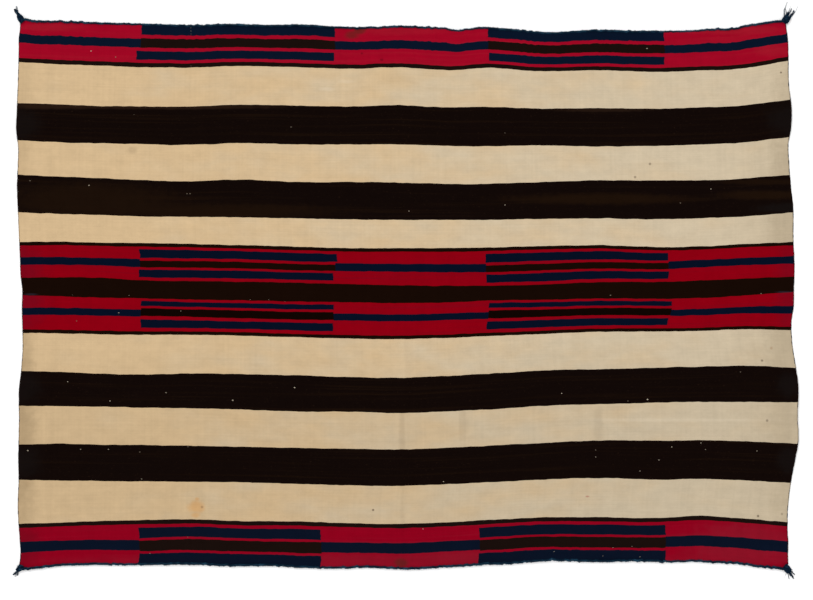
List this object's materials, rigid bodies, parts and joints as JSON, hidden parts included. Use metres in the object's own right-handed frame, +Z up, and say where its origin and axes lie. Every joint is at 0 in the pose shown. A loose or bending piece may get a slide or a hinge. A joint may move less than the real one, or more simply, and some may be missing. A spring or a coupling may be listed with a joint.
{
  "type": "navajo rug",
  "caption": "Flat handwoven wool rug, wider than long, in a traditional banded tapestry weave, with twined cords along its edges and a yarn tassel at each corner.",
  "frame": {"origin": "middle of the whole footprint, tassels included, on the floor under the rug", "axes": "+X along the stripes, the rug's longest side; +Y along the warp, towards the picture's top edge; +Z up, out of the face"},
  "size_m": [1.8358, 1.3526, 0.0066],
  "materials": {
    "tapestry_wool": "matt handspun wool, weft-faced, in cream, brown-black, indigo and crimson bands",
    "edge_cord_wool": "matt plied wool cord, indigo",
    "tassel_yarn": "matt plied wool yarn, indigo, with pale broken ends"
  },
  "bodies": {
    "root": {"woven_cloth": "tapestry_wool", "end_cord_top": "edge_cord_wool", "side_cord_right": "edge_cord_wool", "end_cord_bottom": "edge_cord_wool", "side_cord_left": "edge_cord_wool", "tassel_top_left": "tassel_yarn", "tassel_top_right": "tassel_yarn", "tassel_bottom_right": "tassel_yarn", "tassel_bottom_left": "tassel_yarn"}
  },
  "joints": []
}
